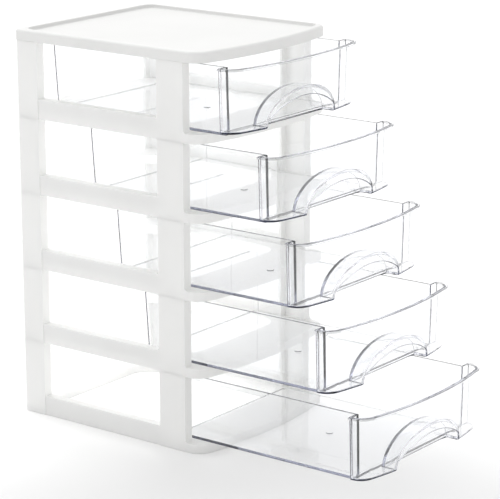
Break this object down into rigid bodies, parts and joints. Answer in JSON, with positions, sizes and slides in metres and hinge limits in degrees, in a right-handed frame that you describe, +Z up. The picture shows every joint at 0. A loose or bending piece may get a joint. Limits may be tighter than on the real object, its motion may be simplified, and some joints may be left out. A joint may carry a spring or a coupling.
{
  "type": "plastic drawer tower",
  "caption": "Small desktop tower of push-fit white frames with clear bow-fronted drawers, each with an arched finger pull, under a recessed lid.",
  "frame": {"origin": "middle of the four stacking sockets under the bottom tier, level with the surface that the tower stands on; it is also the middle of the four posts' footprint", "axes": "+Z up, -Y towards the front, the way the drawers open, +X to the right of someone who faces away from the front"},
  "size_m": [0.1138, 0.2359, 0.215],
  "materials": {
    "frame_white": "satin moulded polypropylene",
    "drawer_clear": "clear polished polystyrene"
  },
  "bodies": {
    "tower": {"tier_frame_1": "frame_white", "tier_frame_2": "frame_white", "tier_frame_3": "frame_white", "tier_frame_4": "frame_white", "tier_frame_5": "frame_white", "top_lid": "frame_white"},
    "drawer_1": {"drawer_1": "drawer_clear"},
    "drawer_2": {"drawer_2": "drawer_clear"},
    "drawer_3": {"drawer_3": "drawer_clear"},
    "drawer_4": {"drawer_4": "drawer_clear"},
    "drawer_5": {"drawer_5": "drawer_clear"}
  },
  "joints": [
    {"name": "drawer_1_slide", "type": "slide", "parent": "tower", "child": "drawer_1", "axis": [0, -1, 0], "range_m": [-0.104, 0.002]},
    {"name": "drawer_2_slide", "type": "slide", "parent": "tower", "child": "drawer_2", "axis": [0, -1, 0], "range_m": [-0.083, 0.023]},
    {"name": "drawer_3_slide", "type": "slide", "parent": "tower", "child": "drawer_3", "axis": [0, -1, 0], "range_m": [-0.0645, 0.0415]},
    {"name": "drawer_4_slide", "type": "slide", "parent": "tower", "child": "drawer_4", "axis": [0, -1, 0], "range_m": [-0.047, 0.059]},
    {"name": "drawer_5_slide", "type": "slide", "parent": "tower", "child": "drawer_5", "axis": [0, -1, 0], "range_m": [-0.022, 0.084]}
  ]
}
